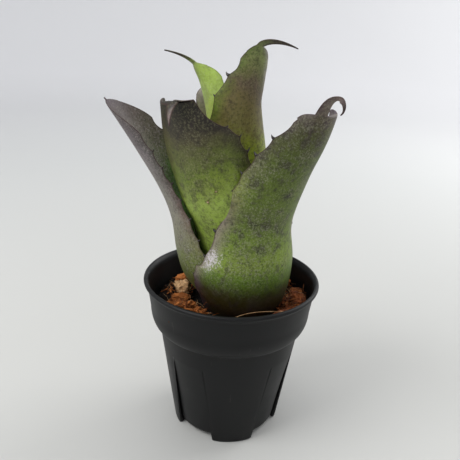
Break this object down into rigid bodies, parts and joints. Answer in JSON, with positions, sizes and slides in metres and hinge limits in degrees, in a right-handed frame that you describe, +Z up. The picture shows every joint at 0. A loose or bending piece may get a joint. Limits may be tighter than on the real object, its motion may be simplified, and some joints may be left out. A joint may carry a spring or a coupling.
{
  "type": "potted tank bromeliad",
  "caption": "Urn-shaped tank bromeliad with broad toothed, hook-tipped leaves, in a round black nursery pot of coconut-husk chips.",
  "frame": {"origin": "centre of the pot's underside pad, on the pot's axis at the level it stands on", "axes": "+Z up along the pot's axis; -Y is the front, +X is to the right seen from the front"},
  "size_m": [0.1445, 0.12, 0.2667],
  "materials": {
    "pot_plastic": "satin",
    "leaf_green": "satin",
    "leaf_dark": "satin",
    "leaf_purple": "satin",
    "leaf_bright": "satin",
    "stem_and_root": "matte",
    "potting_mix": "matte",
    "husk": "matte",
    "husk_pale": "matte"
  },
  "bodies": {
    "root": {"pot": "pot_plastic", "leaf_front_right": "leaf_green", "leaf_left": "leaf_purple", "leaf_back_right": "leaf_green", "leaf_back_left": "leaf_green", "leaf_front_left": "leaf_dark", "leaf_back": "leaf_purple", "leaf_tall": "leaf_green", "leaf_inner": "leaf_bright", "leaf_newest": "leaf_bright", "stem": "stem_and_root", "root_1": "stem_and_root", "root_2": "stem_and_root", "root_3": "stem_and_root", "root_4": "stem_and_root", "potting_mix": "potting_mix", "husk_chip_1": "husk_pale", "husk_chip_2": "husk", "husk_chip_3": "husk", "husk_chip_4": "husk", "husk_chip_5": "husk", "husk_chip_6": "husk_pale", "husk_chip_7": "husk", "husk_chip_8": "husk", "husk_chip_9": "husk", "husk_chip_10": "husk", "husk_chip_11": "husk", "husk_chip_12": "husk_pale", "husk_chip_13": "husk", "husk_chip_14": "husk"}
  },
  "joints": []
}
